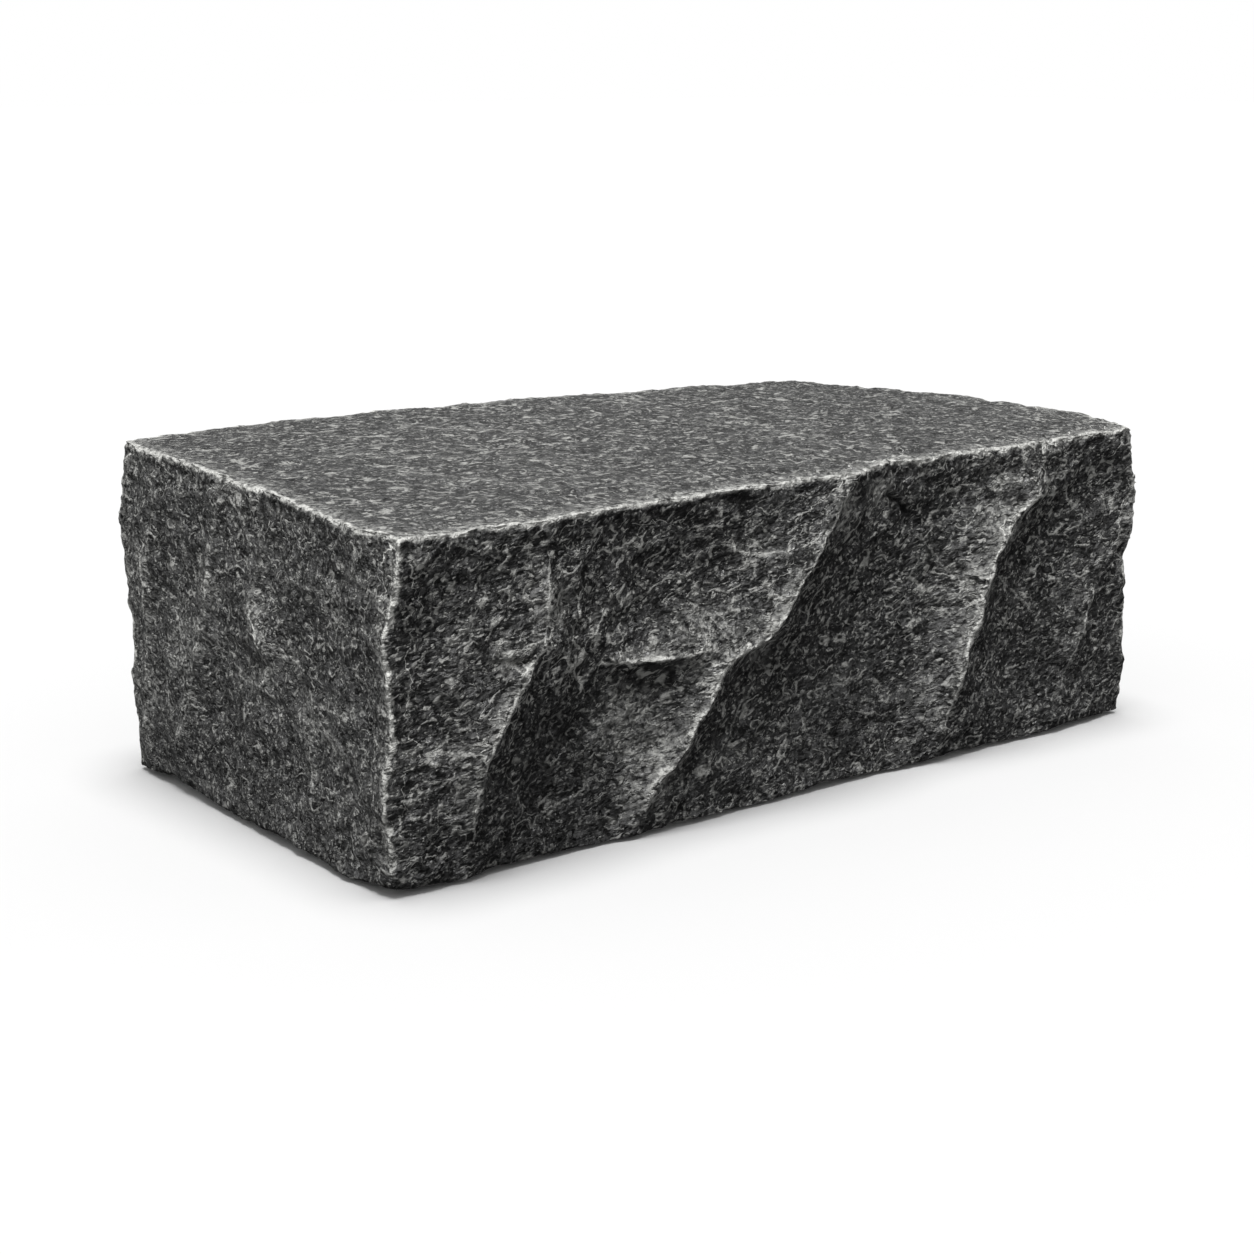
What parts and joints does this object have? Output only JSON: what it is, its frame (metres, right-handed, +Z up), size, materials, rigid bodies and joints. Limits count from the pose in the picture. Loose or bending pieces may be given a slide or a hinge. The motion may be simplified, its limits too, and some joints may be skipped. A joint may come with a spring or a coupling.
{
  "type": "granite armourstone block",
  "caption": "Rectangular block of split granite with a flat bed, rough quarry-split sides with large flake scars, and a slightly crowned top.",
  "frame": {"origin": "middle of the block's footprint, on the plane of its bed", "axes": "+X along the length, +Y from the long scarred face towards the back face, +Z up from the bed"},
  "size_m": [0.9384, 0.5178, 0.3284],
  "materials": {
    "split_granite": "rough split face"
  },
  "bodies": {
    "root": {"armourstone": "split_granite"}
  },
  "joints": []
}
